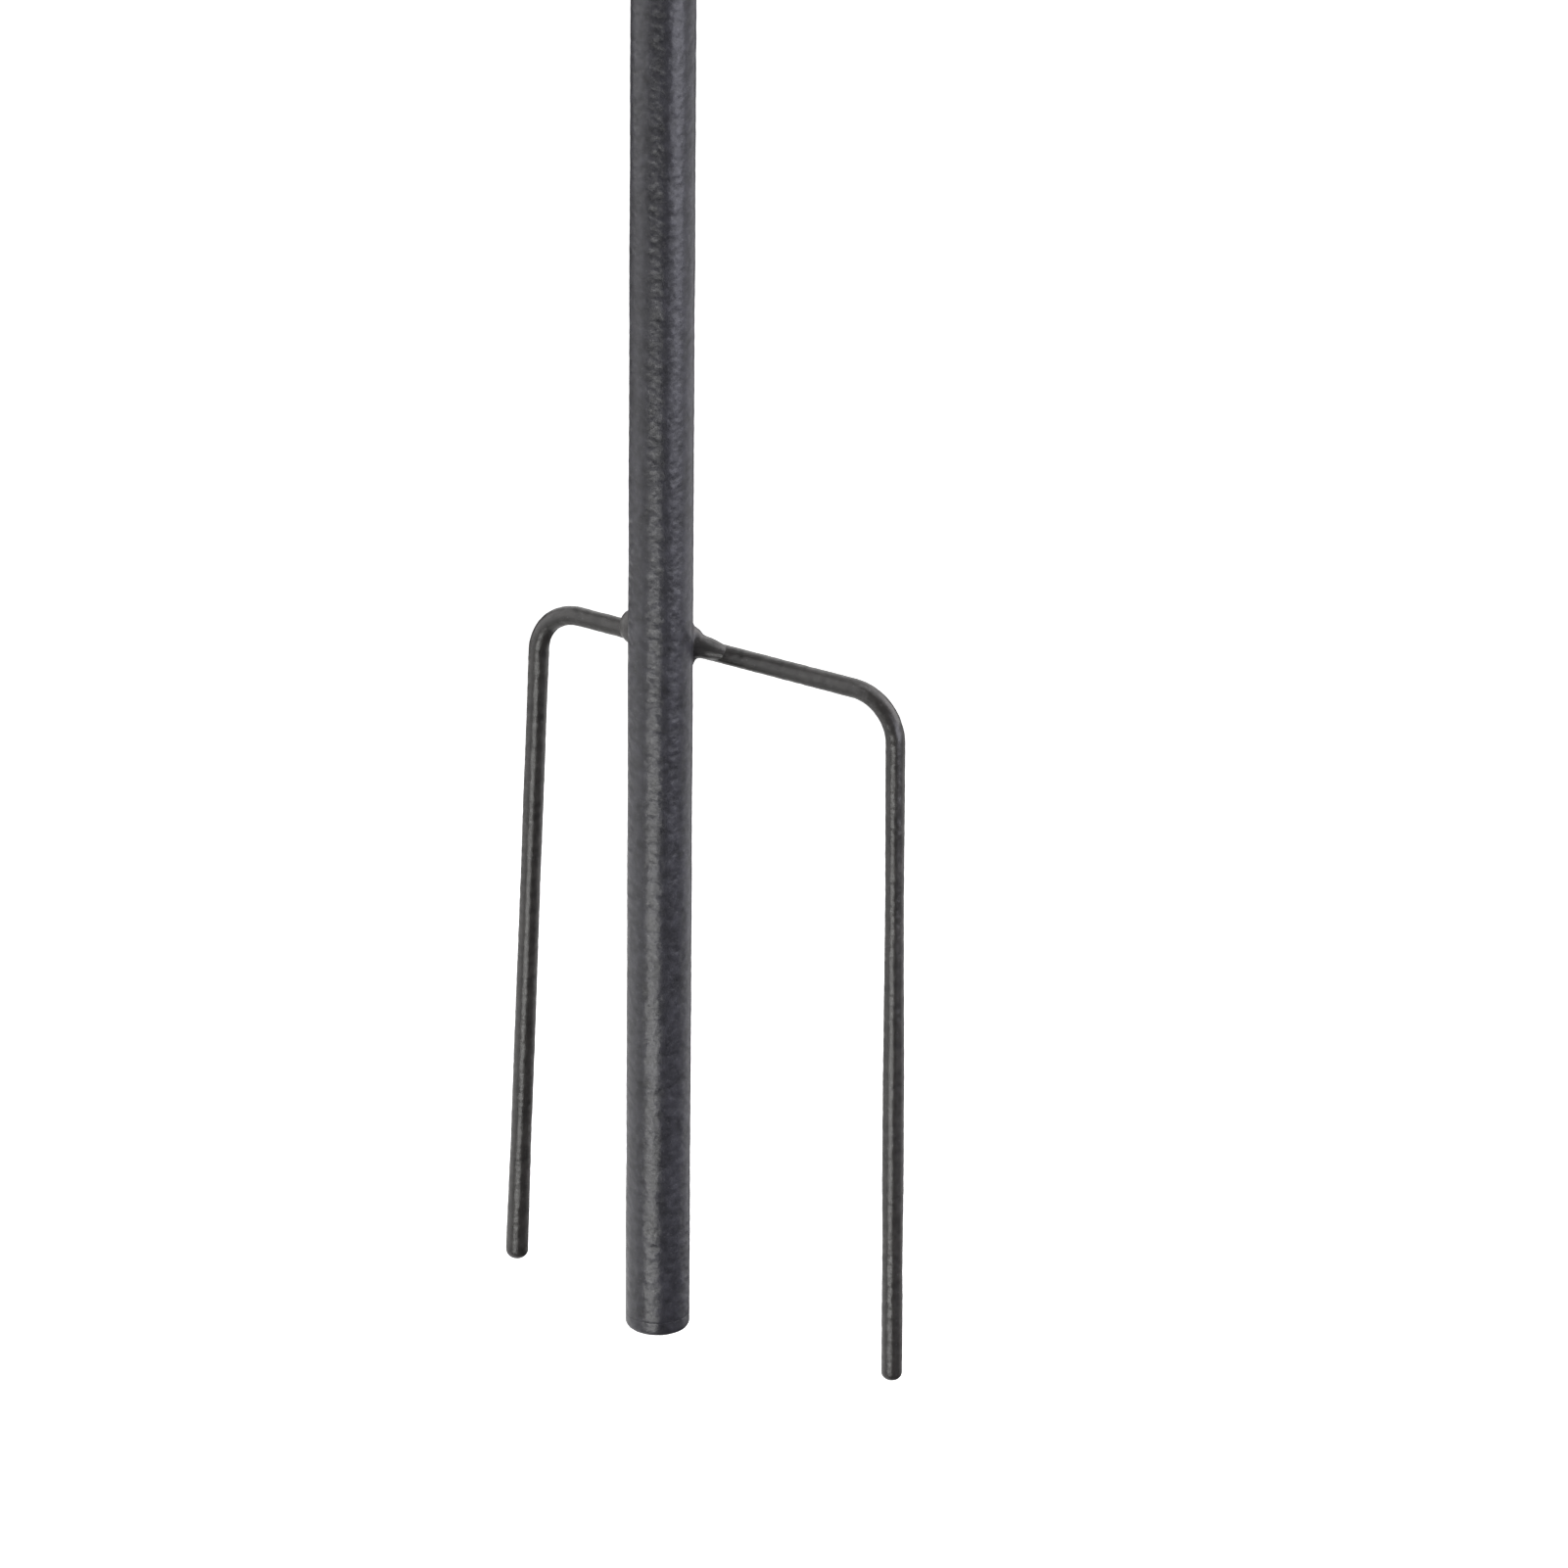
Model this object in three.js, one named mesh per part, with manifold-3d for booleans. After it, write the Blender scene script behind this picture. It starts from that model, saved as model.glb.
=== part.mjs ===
// Ground stake of a garden figure: a round steel pole in two sections, joined by a loose inner
// sleeve, with a two-prong fork of bent rod welded to the back of the lower section.
//
// Millimetres, +Z up. The pole's axis is the Z axis and the fork's crossbar runs along X. z = 0 is
// the underside of the crossbar, which stops at the surface of the ground when the stake is in.

import * as THREE from "three";
import { mergeVertices } from "three/addons/utils/BufferGeometryUtils.js";
import Module from "manifold-3d";

// Pole
const poleDiameter = 15.9;
const poleWall = 1.2;
const footDepth = 178.4; // ground line down to the end of the foot
const lowerPoleRise = 242; // ground line up to the end of the lower section
const upperPoleLength = 300;
const tubeEndChamfer = 0.3;

// Fork
const rodDiameter = 4.8;
const bendRadius = 12; // centreline of the rod's two bends
const leftReach = 42; // pole axis to the corner of the left bend
const rightReach = 61.2;
const leftTipDepth = 176.6; // ground line down to the end of the left prong
const rightTipDepth = 181.2;
const leftSplay = 2.2; // degrees that the prong leans outwards
const rightSplay = 0.3;
const tipRounding = 1.8;

// Weld beads, each a lump in the corner between the pole and the crossbar
const weldInnerEnd = 1.2; // from the pole's axis, along the crossbar
const leftWeldLeg = 9.4; // from the pole's side, along the crossbar
const rightWeldLeg = 3;
const weldRiseAboveRod = 5.2;
const weldDropBelowRod = 0.5;
const weldReachForward = 5.2; // from the front of the rod towards the front of the pole
const weldReachBack = 3.0; // from the front of the rod towards its back

// Joining sleeve
const sleeveWall = 1.0;
const sleeveClearance = 0.15; // radial, so that the pole sections turn and pull off by hand
const sleeveEngagement = 40; // length inside each pole section
const stopRingHeight = 2;
const sleeveEndChamfer = 0.6;

// Plugs
const footHeadHeight = 3.6;
const footRounding = 1.5;
const topHeadHeight = 2.4;
const topHeadChamfer = 0.5;
const plugSpigotLength = 12;
const plugSpigotChamfer = 0.6;

// Shared
const fitGap = 0.3; // between pieces that touch
const poleSides = 48;
const rodSides = 16;
const bendSteps = 12;
const straightSteps = 4;
const tipSteps = 5;
const weldSides = 28;
const weldRings = 18;

const poleRadius = poleDiameter / 2;
const boreRadius = poleRadius - poleWall;
const rodRadius = rodDiameter / 2;
const rodBack = poleRadius + fitGap + rodRadius; // y of the rod's centreline
const crossbarHeight = rodRadius;
const footEnd = -footDepth;
const lowerTubeBottom = footEnd + footHeadHeight + fitGap;
const ringBottom = lowerPoleRise + fitGap;
const ringTop = ringBottom + stopRingHeight;
const upperTubeBottom = ringTop + fitGap;
const upperTubeTop = upperTubeBottom + upperPoleLength;
const topHeadBottom = upperTubeTop + fitGap;
const spigotRadius = boreRadius - fitGap;

const wasm = await Module();
wasm.setup();

const coatedSteel = { color: 0x4b4c50, roughness: 0.55, metalness: 0.35 };
const platedSteel = { color: 0x9a9da0, roughness: 0.35, metalness: 0.9 };
const blackPlastic = { color: 0x1c1c1e, roughness: 0.6, metalness: 0 };

function namedMesh(name, geometry, finish) {
  const mesh = new THREE.Mesh(geometry, new THREE.MeshStandardMaterial(finish));
  mesh.name = name;
  return mesh;
}

// A solid turned about the Z axis. The profile's points are [radius, height], anticlockwise.
function turned(profile) {
  const points = profile.map(([radius, height]) => new THREE.Vector2(radius, height));
  return new THREE.LatheGeometry(points, poleSides).rotateX(Math.PI / 2);
}

// A round tube with chamfered ends.
function tube(outerRadius, innerRadius, bottom, top, chamfer) {
  return turned([
    [innerRadius, bottom],
    [outerRadius - chamfer, bottom],
    [outerRadius, bottom + chamfer],
    [outerRadius, top - chamfer],
    [outerRadius - chamfer, top],
    [innerRadius, top],
    [innerRadius, bottom],
  ]);
}

function lowerPole() {
  return tube(poleRadius, boreRadius, lowerTubeBottom, lowerPoleRise, tubeEndChamfer);
}

function upperPole() {
  return tube(poleRadius, boreRadius, upperTubeBottom, upperTubeTop, tubeEndChamfer);
}

// The foot's head has a rounded edge, and its spigot stands up inside the tube.
function footPlug() {
  const headTop = footEnd + footHeadHeight;
  const spigotTop = headTop + plugSpigotLength;
  const profile = [[0, footEnd]];
  for (let step = 0; step <= tipSteps; step += 1) {
    const angle = ((step / tipSteps) * Math.PI) / 2;
    const radius = poleRadius - footRounding + footRounding * Math.sin(angle);
    const height = footEnd + footRounding - footRounding * Math.cos(angle);
    profile.push([radius, height]);
  }
  profile.push(
    [poleRadius, headTop],
    [spigotRadius, headTop],
    [spigotRadius, spigotTop - plugSpigotChamfer],
    [spigotRadius - plugSpigotChamfer, spigotTop],
    [0, spigotTop],
  );
  return turned(profile);
}

// The top cap has a flat head, and its spigot hangs inside the tube.
function topPlug() {
  const headTop = topHeadBottom + topHeadHeight;
  const spigotBottom = topHeadBottom - plugSpigotLength;
  return turned([
    [0, spigotBottom],
    [spigotRadius - plugSpigotChamfer, spigotBottom],
    [spigotRadius, spigotBottom + plugSpigotChamfer],
    [spigotRadius, topHeadBottom],
    [poleRadius, topHeadBottom],
    [poleRadius, headTop - topHeadChamfer],
    [poleRadius - topHeadChamfer, headTop],
    [0, headTop],
  ]);
}

// The sleeve's stop ring sits between the ends of the two pole sections, so that it can't drop in.
function joiningSleeve() {
  const outerRadius = boreRadius - sleeveClearance;
  const innerRadius = outerRadius - sleeveWall;
  const bottom = lowerPoleRise - sleeveEngagement;
  const top = upperTubeBottom + sleeveEngagement;
  return turned([
    [innerRadius, bottom],
    [outerRadius - sleeveEndChamfer, bottom],
    [outerRadius, bottom + sleeveEndChamfer],
    [outerRadius, ringBottom],
    [poleRadius, ringBottom],
    [poleRadius, ringTop],
    [outerRadius, ringTop],
    [outerRadius, top - sleeveEndChamfer],
    [outerRadius - sleeveEndChamfer, top],
    [innerRadius, top],
    [innerRadius, bottom],
  ]);
}

// A rod bent in the plane y = constant: a list of stations along its centreline, each with its
// point, its direction and the size of its section, which is smaller in the rounded tips.
class BentRod extends THREE.Curve {
  constructor(stations) {
    super();
    this.stations = stations;
  }

  getSpacedPoints() {
    return this.stations.map((station) => station.point);
  }

  computeFrenetFrames() {
    const acrossPlane = new THREE.Vector3(0, 1, 0);
    return {
      tangents: this.stations.map((station) => station.direction),
      normals: this.stations.map(({ direction, section }) =>
        acrossPlane.clone().cross(direction).multiplyScalar(section)),
      binormals: this.stations.map(({ section }) => acrossPlane.clone().multiplyScalar(section)),
    };
  }
}

// Stations from a rod's end to the full section, following the quarter circle of its rounding.
function tipStations(end, direction) {
  const stations = [];
  for (let step = 0; step <= tipSteps; step += 1) {
    const angle = ((step / tipSteps) * Math.PI) / 2;
    const along = tipRounding * (1 - Math.cos(angle));
    const radius = rodRadius - tipRounding * (1 - Math.sin(angle));
    const point = end.clone().addScaledVector(direction, along);
    stations.push({ point, direction, section: radius / rodRadius });
  }
  return stations;
}

// Stations between two points of a straight stretch, without its two ends.
function straightStations(from, to) {
  const direction = to.clone().sub(from).normalize();
  const stations = [];
  for (let step = 1; step < straightSteps; step += 1) {
    const point = from.clone().lerp(to, step / straightSteps);
    stations.push({ point, direction, section: 1 });
  }
  return stations;
}

// Stations round a bend whose straight sides would meet at the corner.
function bendStations(corner, directionIn, directionOut) {
  const turn = directionIn.angleTo(directionOut);
  const setback = bendRadius * Math.tan(turn / 2);
  const start = corner.clone().addScaledVector(directionIn, -setback);
  const inward = directionOut.clone().addScaledVector(directionIn, -Math.cos(turn)).normalize();
  const centre = start.clone().addScaledVector(inward, bendRadius);
  const stations = [];
  for (let step = 0; step <= bendSteps; step += 1) {
    const angle = (turn * step) / bendSteps;
    const point = centre.clone()
      .addScaledVector(inward, -bendRadius * Math.cos(angle))
      .addScaledVector(directionIn, bendRadius * Math.sin(angle));
    const direction = directionIn.clone().multiplyScalar(Math.cos(angle))
      .addScaledVector(inward, Math.sin(angle));
    stations.push({ point, direction, section: 1 });
  }
  return stations;
}

function forkRod() {
  const leftLean = THREE.MathUtils.degToRad(leftSplay);
  const rightLean = THREE.MathUtils.degToRad(rightSplay);
  const up = new THREE.Vector3(Math.sin(leftLean), 0, Math.cos(leftLean));
  const across = new THREE.Vector3(1, 0, 0);
  const down = new THREE.Vector3(Math.sin(rightLean), 0, -Math.cos(rightLean));
  const leftCorner = new THREE.Vector3(-leftReach, rodBack, crossbarHeight);
  const rightCorner = new THREE.Vector3(rightReach, rodBack, crossbarHeight);
  const leftLength = (leftTipDepth + crossbarHeight) / Math.cos(leftLean);
  const rightLength = (rightTipDepth + crossbarHeight) / Math.cos(rightLean);
  const leftTip = tipStations(leftCorner.clone().addScaledVector(up, -leftLength), up);
  const leftBend = bendStations(leftCorner, up, across);
  const rightBend = bendStations(rightCorner, across, down);
  const rightEnd = rightCorner.clone().addScaledVector(down, rightLength);
  const rightTip = tipStations(rightEnd, down.clone().negate()).reverse();
  rightTip.forEach((station) => {
    station.direction = down;
  });
  const stations = [
    ...leftTip,
    ...straightStations(leftTip.at(-1).point, leftBend[0].point),
    ...leftBend,
    ...straightStations(leftBend.at(-1).point, rightBend[0].point),
    ...rightBend,
    ...straightStations(rightBend.at(-1).point, rightTip[0].point),
    ...rightTip,
  ];
  const section = new THREE.Shape().absarc(0, 0, rodRadius, 0, 2 * Math.PI);
  return new THREE.ExtrudeGeometry(section, {
    steps: stations.length - 1,
    curveSegments: rodSides / 2,
    extrudePath: new BentRod(stations),
  });
}

function toSolid(geometry) {
  const bare = geometry.clone();
  bare.deleteAttribute("normal");
  bare.deleteAttribute("uv");
  const merged = mergeVertices(bare);
  return new wasm.Manifold(new wasm.Mesh({
    numProp: 3,
    vertProperties: new Float32Array(merged.attributes.position.array),
    triVerts: new Uint32Array(merged.index.array),
  }));
}

function toGeometry(solid) {
  const mesh = solid.getMesh();
  const geometry = new THREE.BufferGeometry();
  geometry.setAttribute("position", new THREE.BufferAttribute(mesh.vertProperties, 3));
  geometry.setIndex(new THREE.BufferAttribute(mesh.triVerts, 1));
  geometry.computeVertexNormals();
  return geometry;
}

// A weld bead: an ellipsoid in the corner between pole and rod, cut clear of both. side is -1 for
// the left one and 1 for the right one.
function weldBead(side, leg) {
  const innerX = side * weldInnerEnd;
  const outerX = side * (poleRadius + leg);
  const lowX = Math.min(innerX, outerX);
  const highX = Math.max(innerX, outerX);
  const rodFront = rodBack - rodRadius;
  const high = 2 * rodRadius + weldRiseAboveRod;
  const low = -weldDropBelowRod;
  const front = rodFront - weldReachForward;
  const back = rodFront + weldReachBack;
  const lump = new THREE.SphereGeometry(1, weldSides, weldRings)
    .scale((highX - lowX) / 2, (back - front) / 2, (high - low) / 2)
    .translate((highX + lowX) / 2, (back + front) / 2, (high + low) / 2);
  const length = highX - lowX;
  const poleSpace = new THREE.CylinderGeometry(
    poleRadius + fitGap, poleRadius + fitGap, 2 * (high - low), poleSides,
  ).rotateX(Math.PI / 2);
  const rodSpace = new THREE.CylinderGeometry(
    rodRadius + fitGap, rodRadius + fitGap, 2 * length, rodSides,
  ).rotateZ(Math.PI / 2).translate((highX + lowX) / 2, rodBack, crossbarHeight);
  const bead = toSolid(lump).subtract(toSolid(poleSpace)).subtract(toSolid(rodSpace));
  return toGeometry(bead);
}

const stake = new THREE.Group();
stake.add(
  namedMesh("lower_pole", lowerPole(), coatedSteel),
  namedMesh("foot_plug", footPlug(), coatedSteel),
  namedMesh("fork_rod", forkRod(), coatedSteel),
  namedMesh("weld_left", weldBead(-1, leftWeldLeg), coatedSteel),
  namedMesh("weld_right", weldBead(1, rightWeldLeg), coatedSteel),
  namedMesh("joining_sleeve", joiningSleeve(), platedSteel),
);

const upperSection = new THREE.Group();
upperSection.add(
  namedMesh("upper_pole", upperPole(), coatedSteel),
  namedMesh("top_plug", topPlug(), blackPlastic),
);

const model = new THREE.Group();
model.add(stake, upperSection);

export default model;
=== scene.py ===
"""Ground stake of a garden figure: the coated pole, the bent fork, its weld beads and the plugs.

Everything is in metres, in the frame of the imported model. Run as a script.
"""

import math

import bmesh
import bpy
from bpy.props import FloatProperty, FloatVectorProperty, IntProperty, PointerProperty
from mathutils import Matrix, Vector, noise


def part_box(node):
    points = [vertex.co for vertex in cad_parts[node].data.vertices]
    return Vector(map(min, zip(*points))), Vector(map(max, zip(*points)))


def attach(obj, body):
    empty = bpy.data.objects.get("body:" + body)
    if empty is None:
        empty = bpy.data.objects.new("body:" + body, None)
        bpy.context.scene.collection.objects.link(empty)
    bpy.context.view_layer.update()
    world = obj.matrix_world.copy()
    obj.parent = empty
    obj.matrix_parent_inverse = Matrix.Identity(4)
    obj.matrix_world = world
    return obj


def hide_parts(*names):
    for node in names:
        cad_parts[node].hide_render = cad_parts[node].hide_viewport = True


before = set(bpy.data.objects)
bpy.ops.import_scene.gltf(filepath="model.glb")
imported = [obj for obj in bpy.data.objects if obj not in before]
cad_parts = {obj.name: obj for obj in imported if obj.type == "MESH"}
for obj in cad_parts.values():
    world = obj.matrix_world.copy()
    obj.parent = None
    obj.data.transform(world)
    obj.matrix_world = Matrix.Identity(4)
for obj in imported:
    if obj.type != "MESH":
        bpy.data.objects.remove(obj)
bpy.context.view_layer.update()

bl_info = {
    "name": "Garden stake",
    "version": (1, 0, 0),
    "blender": (4, 5, 0),
    "location": "View3D > Sidebar > Stake",
    "description": "Models a coated garden stake with a two-prong fork round its packed frame",
    "category": "Add Mesh",
}

POLE_LOW, POLE_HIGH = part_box("lower_pole")
UPPER_LOW, UPPER_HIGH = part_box("upper_pole")
FOOT_LOW, FOOT_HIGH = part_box("foot_plug")
CAP_LOW, CAP_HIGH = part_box("top_plug")
SLEEVE_LOW, SLEEVE_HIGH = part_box("joining_sleeve")
FORK_LOW, FORK_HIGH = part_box("fork_rod")

POLE_RADIUS = POLE_HIGH.x
ROD_RADIUS = (FORK_HIGH.y - FORK_LOW.y) / 2
ROD_BACK = (FORK_HIGH.y + FORK_LOW.y) / 2
CROSSBAR_HEIGHT = FORK_HIGH.z - ROD_RADIUS

MM = 0.001
QUARTER = math.pi / 2
MERGE_DISTANCE = 0.001 * MM


# Settings


class PoleSettings(bpy.types.PropertyGroup):
    wall: FloatProperty(
        name="Wall", description="Wall of the tube", default=1.2 * MM, subtype="DISTANCE")
    end_rounding: FloatProperty(
        name="End rounding", description="Rounding of the cut ends under the coat",
        default=0.35 * MM, subtype="DISTANCE")
    foot_seam: FloatProperty(
        name="Foot seam", description="Gap and edge radius left by the coat over the foot plug",
        default=0.05 * MM, subtype="DISTANCE")
    foot_rounding: FloatProperty(
        name="Foot rounding", description="Edge radius of the foot plug",
        default=1.5 * MM, subtype="DISTANCE")
    cap_head: FloatProperty(
        name="Cap head", description="Height of the part of the top cap that shows",
        default=2.4 * MM, subtype="DISTANCE")
    cap_rounding: FloatProperty(
        name="Cap rounding", description="Edge radius of the top cap",
        default=0.6 * MM, subtype="DISTANCE")
    fit_gap: FloatProperty(
        name="Fit gap", description="Gap between a plug and the bore it is in",
        default=0.3 * MM, subtype="DISTANCE")
    sides: IntProperty(
        name="Sides", description="Facets round the pole", default=100, min=12, max=256)
    row_spacing: FloatProperty(
        name="Row spacing", description="Distance between rows of vertices along a coated wall",
        default=0.5 * MM, subtype="DISTANCE")


class SleeveSettings(bpy.types.PropertyGroup):
    clearance: FloatProperty(
        name="Clearance", description="Radial gap between sleeve and bore",
        default=0.15 * MM, subtype="DISTANCE")
    wall: FloatProperty(
        name="Wall", description="Wall of the sleeve", default=1.0 * MM, subtype="DISTANCE")
    ring_height: FloatProperty(
        name="Ring height", description="Height of the stop ring",
        default=2.0 * MM, subtype="DISTANCE")
    end_rounding: FloatProperty(
        name="End rounding", description="Lead-in at both ends",
        default=0.6 * MM, subtype="DISTANCE")


class ForkSettings(bpy.types.PropertyGroup):
    left_reach: FloatProperty(
        name="Left reach", description="Pole axis to the corner of the left bend",
        default=42.0 * MM, subtype="DISTANCE")
    right_reach: FloatProperty(
        name="Right reach", description="Pole axis to the corner of the right bend",
        default=61.2 * MM, subtype="DISTANCE")
    left_tip_depth: FloatProperty(
        name="Left tip depth", description="Ground line down to the end of the left prong",
        default=176.6 * MM, subtype="DISTANCE")
    left_lean: FloatProperty(
        name="Left lean", description="Outward lean of the left prong",
        default=math.radians(2.2), subtype="ANGLE")
    right_lean: FloatProperty(
        name="Right lean", description="Outward lean of the right prong",
        default=math.radians(0.3), subtype="ANGLE")
    bend_radius: FloatProperty(
        name="Bend radius", description="Centreline radius of the two bends",
        default=12.0 * MM, subtype="DISTANCE")
    tip_rounding: FloatProperty(
        name="Tip rounding", description="Edge radius of the cut ends",
        default=1.8 * MM, subtype="DISTANCE")
    sides: IntProperty(
        name="Sides", description="Facets round the rod", default=36, min=8, max=96)
    row_spacing: FloatProperty(
        name="Row spacing", description="Distance between rows of vertices along the rod",
        default=0.45 * MM, subtype="DISTANCE")


class WeldSettings(bpy.types.PropertyGroup):
    voxel: FloatProperty(
        name="Voxel", description="Detail of the beads", default=0.3 * MM, subtype="DISTANCE")
    smoothing: IntProperty(
        name="Smoothing", description="Passes that run the bead into its neighbours",
        default=26, min=0, max=60)


class CoatSettings(bpy.types.PropertyGroup):
    pole_color: FloatVectorProperty(
        name="Pole colour", description="Charcoal of the pole's coat",
        default=(0.030, 0.0296, 0.0355), min=0, max=1, subtype="COLOR")
    rod_color: FloatVectorProperty(
        name="Rod colour", description="Charcoal of the fork's coat",
        default=(0.028, 0.0262, 0.0248), min=0, max=1, subtype="COLOR")
    # The beads' coat is lighter than the rod's: painted highlight for the bright strips that the
    # beads catch.
    weld_color_with_painted_highlight: FloatVectorProperty(
        name="Weld colour with painted highlight", description="Charcoal of the beads' coat, lightened as painted highlight",
        default=(0.048, 0.046, 0.045), min=0, max=1, subtype="COLOR")
    grain_size: FloatProperty(
        name="Grain size", description="Width of one lump of the orange-peel coat",
        default=1.8 * MM, subtype="DISTANCE")
    grain_depth: FloatProperty(
        name="Grain depth", description="Height of the lumps",
        default=0.06 * MM, subtype="DISTANCE")
    wave_size: FloatProperty(
        name="Wave size", description="Length of the slow swellings of coat and metal",
        default=24.0 * MM, subtype="DISTANCE")
    wave_depth: FloatProperty(
        name="Wave depth", description="Height of the slow swellings",
        default=0.09 * MM, subtype="DISTANCE")


class StudioSettings(bpy.types.PropertyGroup):
    azimuth: FloatProperty(
        name="Azimuth", description="Direction of the camera, from square-on to the right",
        default=math.radians(32.16), subtype="ANGLE")
    elevation: FloatProperty(
        name="Elevation", description="Height angle of the camera",
        default=math.radians(24.0), subtype="ANGLE")
    distance: FloatProperty(
        name="Distance", description="Camera to the point that it looks at",
        default=4.0, subtype="DISTANCE")
    roll: FloatProperty(
        name="Roll", description="Tilt of the camera about its line of sight",
        default=math.radians(0.45), subtype="ANGLE")
    aim_right: FloatProperty(
        name="Aim right", description="How far to the right of the pole the camera looks",
        default=30.46 * MM, subtype="DISTANCE")
    aim_height: FloatProperty(
        name="Aim height", description="Height that the camera looks at",
        default=-30.98 * MM, subtype="DISTANCE")
    frame_width: FloatProperty(
        name="Frame width", description="Width of the picture at the pole",
        default=384.86 * MM, subtype="DISTANCE")
    floor_drop: FloatProperty(
        name="Floor drop", description="Clearance between the lowest tip and the floor",
        default=0.6, subtype="DISTANCE")


class StakeSettings(bpy.types.PropertyGroup):
    pole: PointerProperty(type=PoleSettings)
    sleeve: PointerProperty(type=SleeveSettings)
    fork: PointerProperty(type=ForkSettings)
    weld: PointerProperty(type=WeldSettings)
    coat: PointerProperty(type=CoatSettings)
    studio: PointerProperty(type=StudioSettings)


def settings():
    """The add-on's settings in the current scene."""
    return bpy.context.scene.garden_stake


# Modelling helpers


def finish_piece(bm, name, material, body, node):
    """Turns a bmesh into a smooth piece that stands for a CAD node and rides on its body."""
    bmesh.ops.recalc_face_normals(bm, faces=bm.faces[:])
    mesh = bpy.data.meshes.new(name)
    bm.to_mesh(mesh)
    bm.free()
    mesh.shade_smooth()
    mesh.materials.append(material)
    piece = bpy.data.objects.new(name, mesh)
    bpy.context.scene.collection.objects.link(piece)
    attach(piece, body)
    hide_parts(node)
    return piece


def arc(centre, radius, start, end, steps):
    """Points of an arc in the (radius, height) plane, both ends included."""
    points = []
    for step in range(steps + 1):
        angle = start + (end - start) * step / steps
        points.append((centre[0] + radius * math.cos(angle), centre[1] + radius * math.sin(angle)))
    return points


def spun(profile, sides, spacing=None, closed=False):
    """A bmesh turned about Z from a profile of (radius, height) points.

    Edges longer than the spacing are cut into rows of that height.
    """
    bm = bmesh.new()
    verts = [bm.verts.new((radius, 0, height)) for radius, height in profile]
    pairs = list(zip(verts, verts[1:]))
    if closed:
        pairs.append((verts[-1], verts[0]))
    edges = [bm.edges.new(pair) for pair in pairs]
    if spacing:
        for edge in edges:
            cuts = round(edge.calc_length() / spacing) - 1
            if cuts > 0:
                bmesh.ops.subdivide_edges(bm, edges=[edge], cuts=cuts)
    bmesh.ops.spin(
        bm, geom=bm.verts[:] + bm.edges[:], cent=(0, 0, 0), axis=(0, 0, 1),
        angle=2 * math.pi, steps=sides, use_merge=True)
    bmesh.ops.remove_doubles(bm, verts=bm.verts[:], dist=MERGE_DISTANCE)
    bmesh.ops.recalc_face_normals(bm, faces=bm.faces[:])
    return bm


# The small lumps between the coat's lumps: their size and height as shares of a lump's.
FLECK_SIZE, FLECK_HEIGHT = 0.55, 0.35

# Steps away from the origin that keep the coat's patterns from lining up
FLECK_OFFSET, SWELL_OFFSET = Vector((7, 3, 1)), Vector((2, 9, 4))


def coat_surface(bm, coat, touches=lambda co: True, grain=1.0, wave=1.0, runs=()):
    """Raises the orange-peel lumps, slow swellings and runs of the coat, as geometry."""
    bm.normal_update()
    moves = []
    for vert in bm.verts:
        if not touches(vert.co):
            continue
        lump = noise.noise(vert.co / coat.grain_size)
        fleck = noise.noise(vert.co / (FLECK_SIZE * coat.grain_size) + FLECK_OFFSET)
        swell = noise.noise(vert.co / coat.wave_size + SWELL_OFFSET)
        height = coat.grain_depth * grain * (lump + FLECK_HEIGHT * fleck)
        height += coat.wave_depth * wave * swell
        for side, start, full, thickness in runs:
            if side * vert.co.x > 0:
                height += thickness * min(max((start - vert.co.z) / (start - full), 0), 1)
        moves.append((vert, vert.normal * height))
    for vert, move in moves:
        vert.co += move


# Steps round the small roundings that the coat leaves on a cut rim
RIM_STEPS = 4


def tube(bottom, top, outer, inner, roundings, sides, spacing):
    """A tube with a rounding for each rim. Only its outer wall is cut into fine rows."""
    low, high = roundings
    outside = arc((outer - low, bottom + low), low, -QUARTER, 0, RIM_STEPS)
    outside += arc((outer - high, top - high), high, 0, QUARTER, RIM_STEPS)
    bm = spun([(inner, bottom)] + outside + [(inner, top)], sides, closed=True)
    middle = (outer + inner) / 2
    wall_edges = [
        edge for edge in bm.edges
        if abs(edge.verts[0].co.z - edge.verts[1].co.z) > 4 * spacing
        and all(math.hypot(vert.co.x, vert.co.y) > middle for vert in edge.verts)]
    cuts = round((top - bottom) / spacing)
    bmesh.ops.subdivide_edges(bm, edges=wall_edges, cuts=cuts, use_grid_fill=True)
    return bm


# Materials


class Nodes:
    """Short calls that add and link the nodes of one tree."""

    def __init__(self, tree):
        self.tree = tree

    def add(self, kind, values=None, **attributes):
        """A node whose inputs are linked where a value is a socket, and set where it isn't."""
        node = self.tree.nodes.new(kind)
        for name, value in attributes.items():
            setattr(node, name, value)
        for socket, value in (values or {}).items():
            if isinstance(value, bpy.types.NodeSocket):
                self.tree.links.new(value, node.inputs[socket])
            else:
                node.inputs[socket].default_value = value
        return node

    def math(self, operation, first, second=0.0, third=0.0):
        """The result of one operation on up to three values."""
        values = {0: first, 1: second, 2: third}
        return self.add("ShaderNodeMath", values, operation=operation).outputs[0]

    def between(self, value, low, high, new_low=0.0, new_high=1.0):
        """A value moved from one range to another and held inside it."""
        values = {"Value": value, "From Min": low, "From Max": high,
                  "To Min": new_low, "To Max": new_high}
        return self.add("ShaderNodeMapRange", values).outputs["Result"]

    def mix(self, amount, first, second):
        """A blend of two colours."""
        node = self.add("ShaderNodeMix", {0: amount, 6: first, 7: second}, data_type="RGBA")
        return node.outputs[2]

    def noise(self, coords, scale, detail, roughness):
        """Fractal noise, with its scale in lumps per metre."""
        values = {"Vector": coords, "Scale": scale, "Detail": detail, "Roughness": roughness}
        return self.add("ShaderNodeTexNoise", values).outputs["Fac"]


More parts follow.
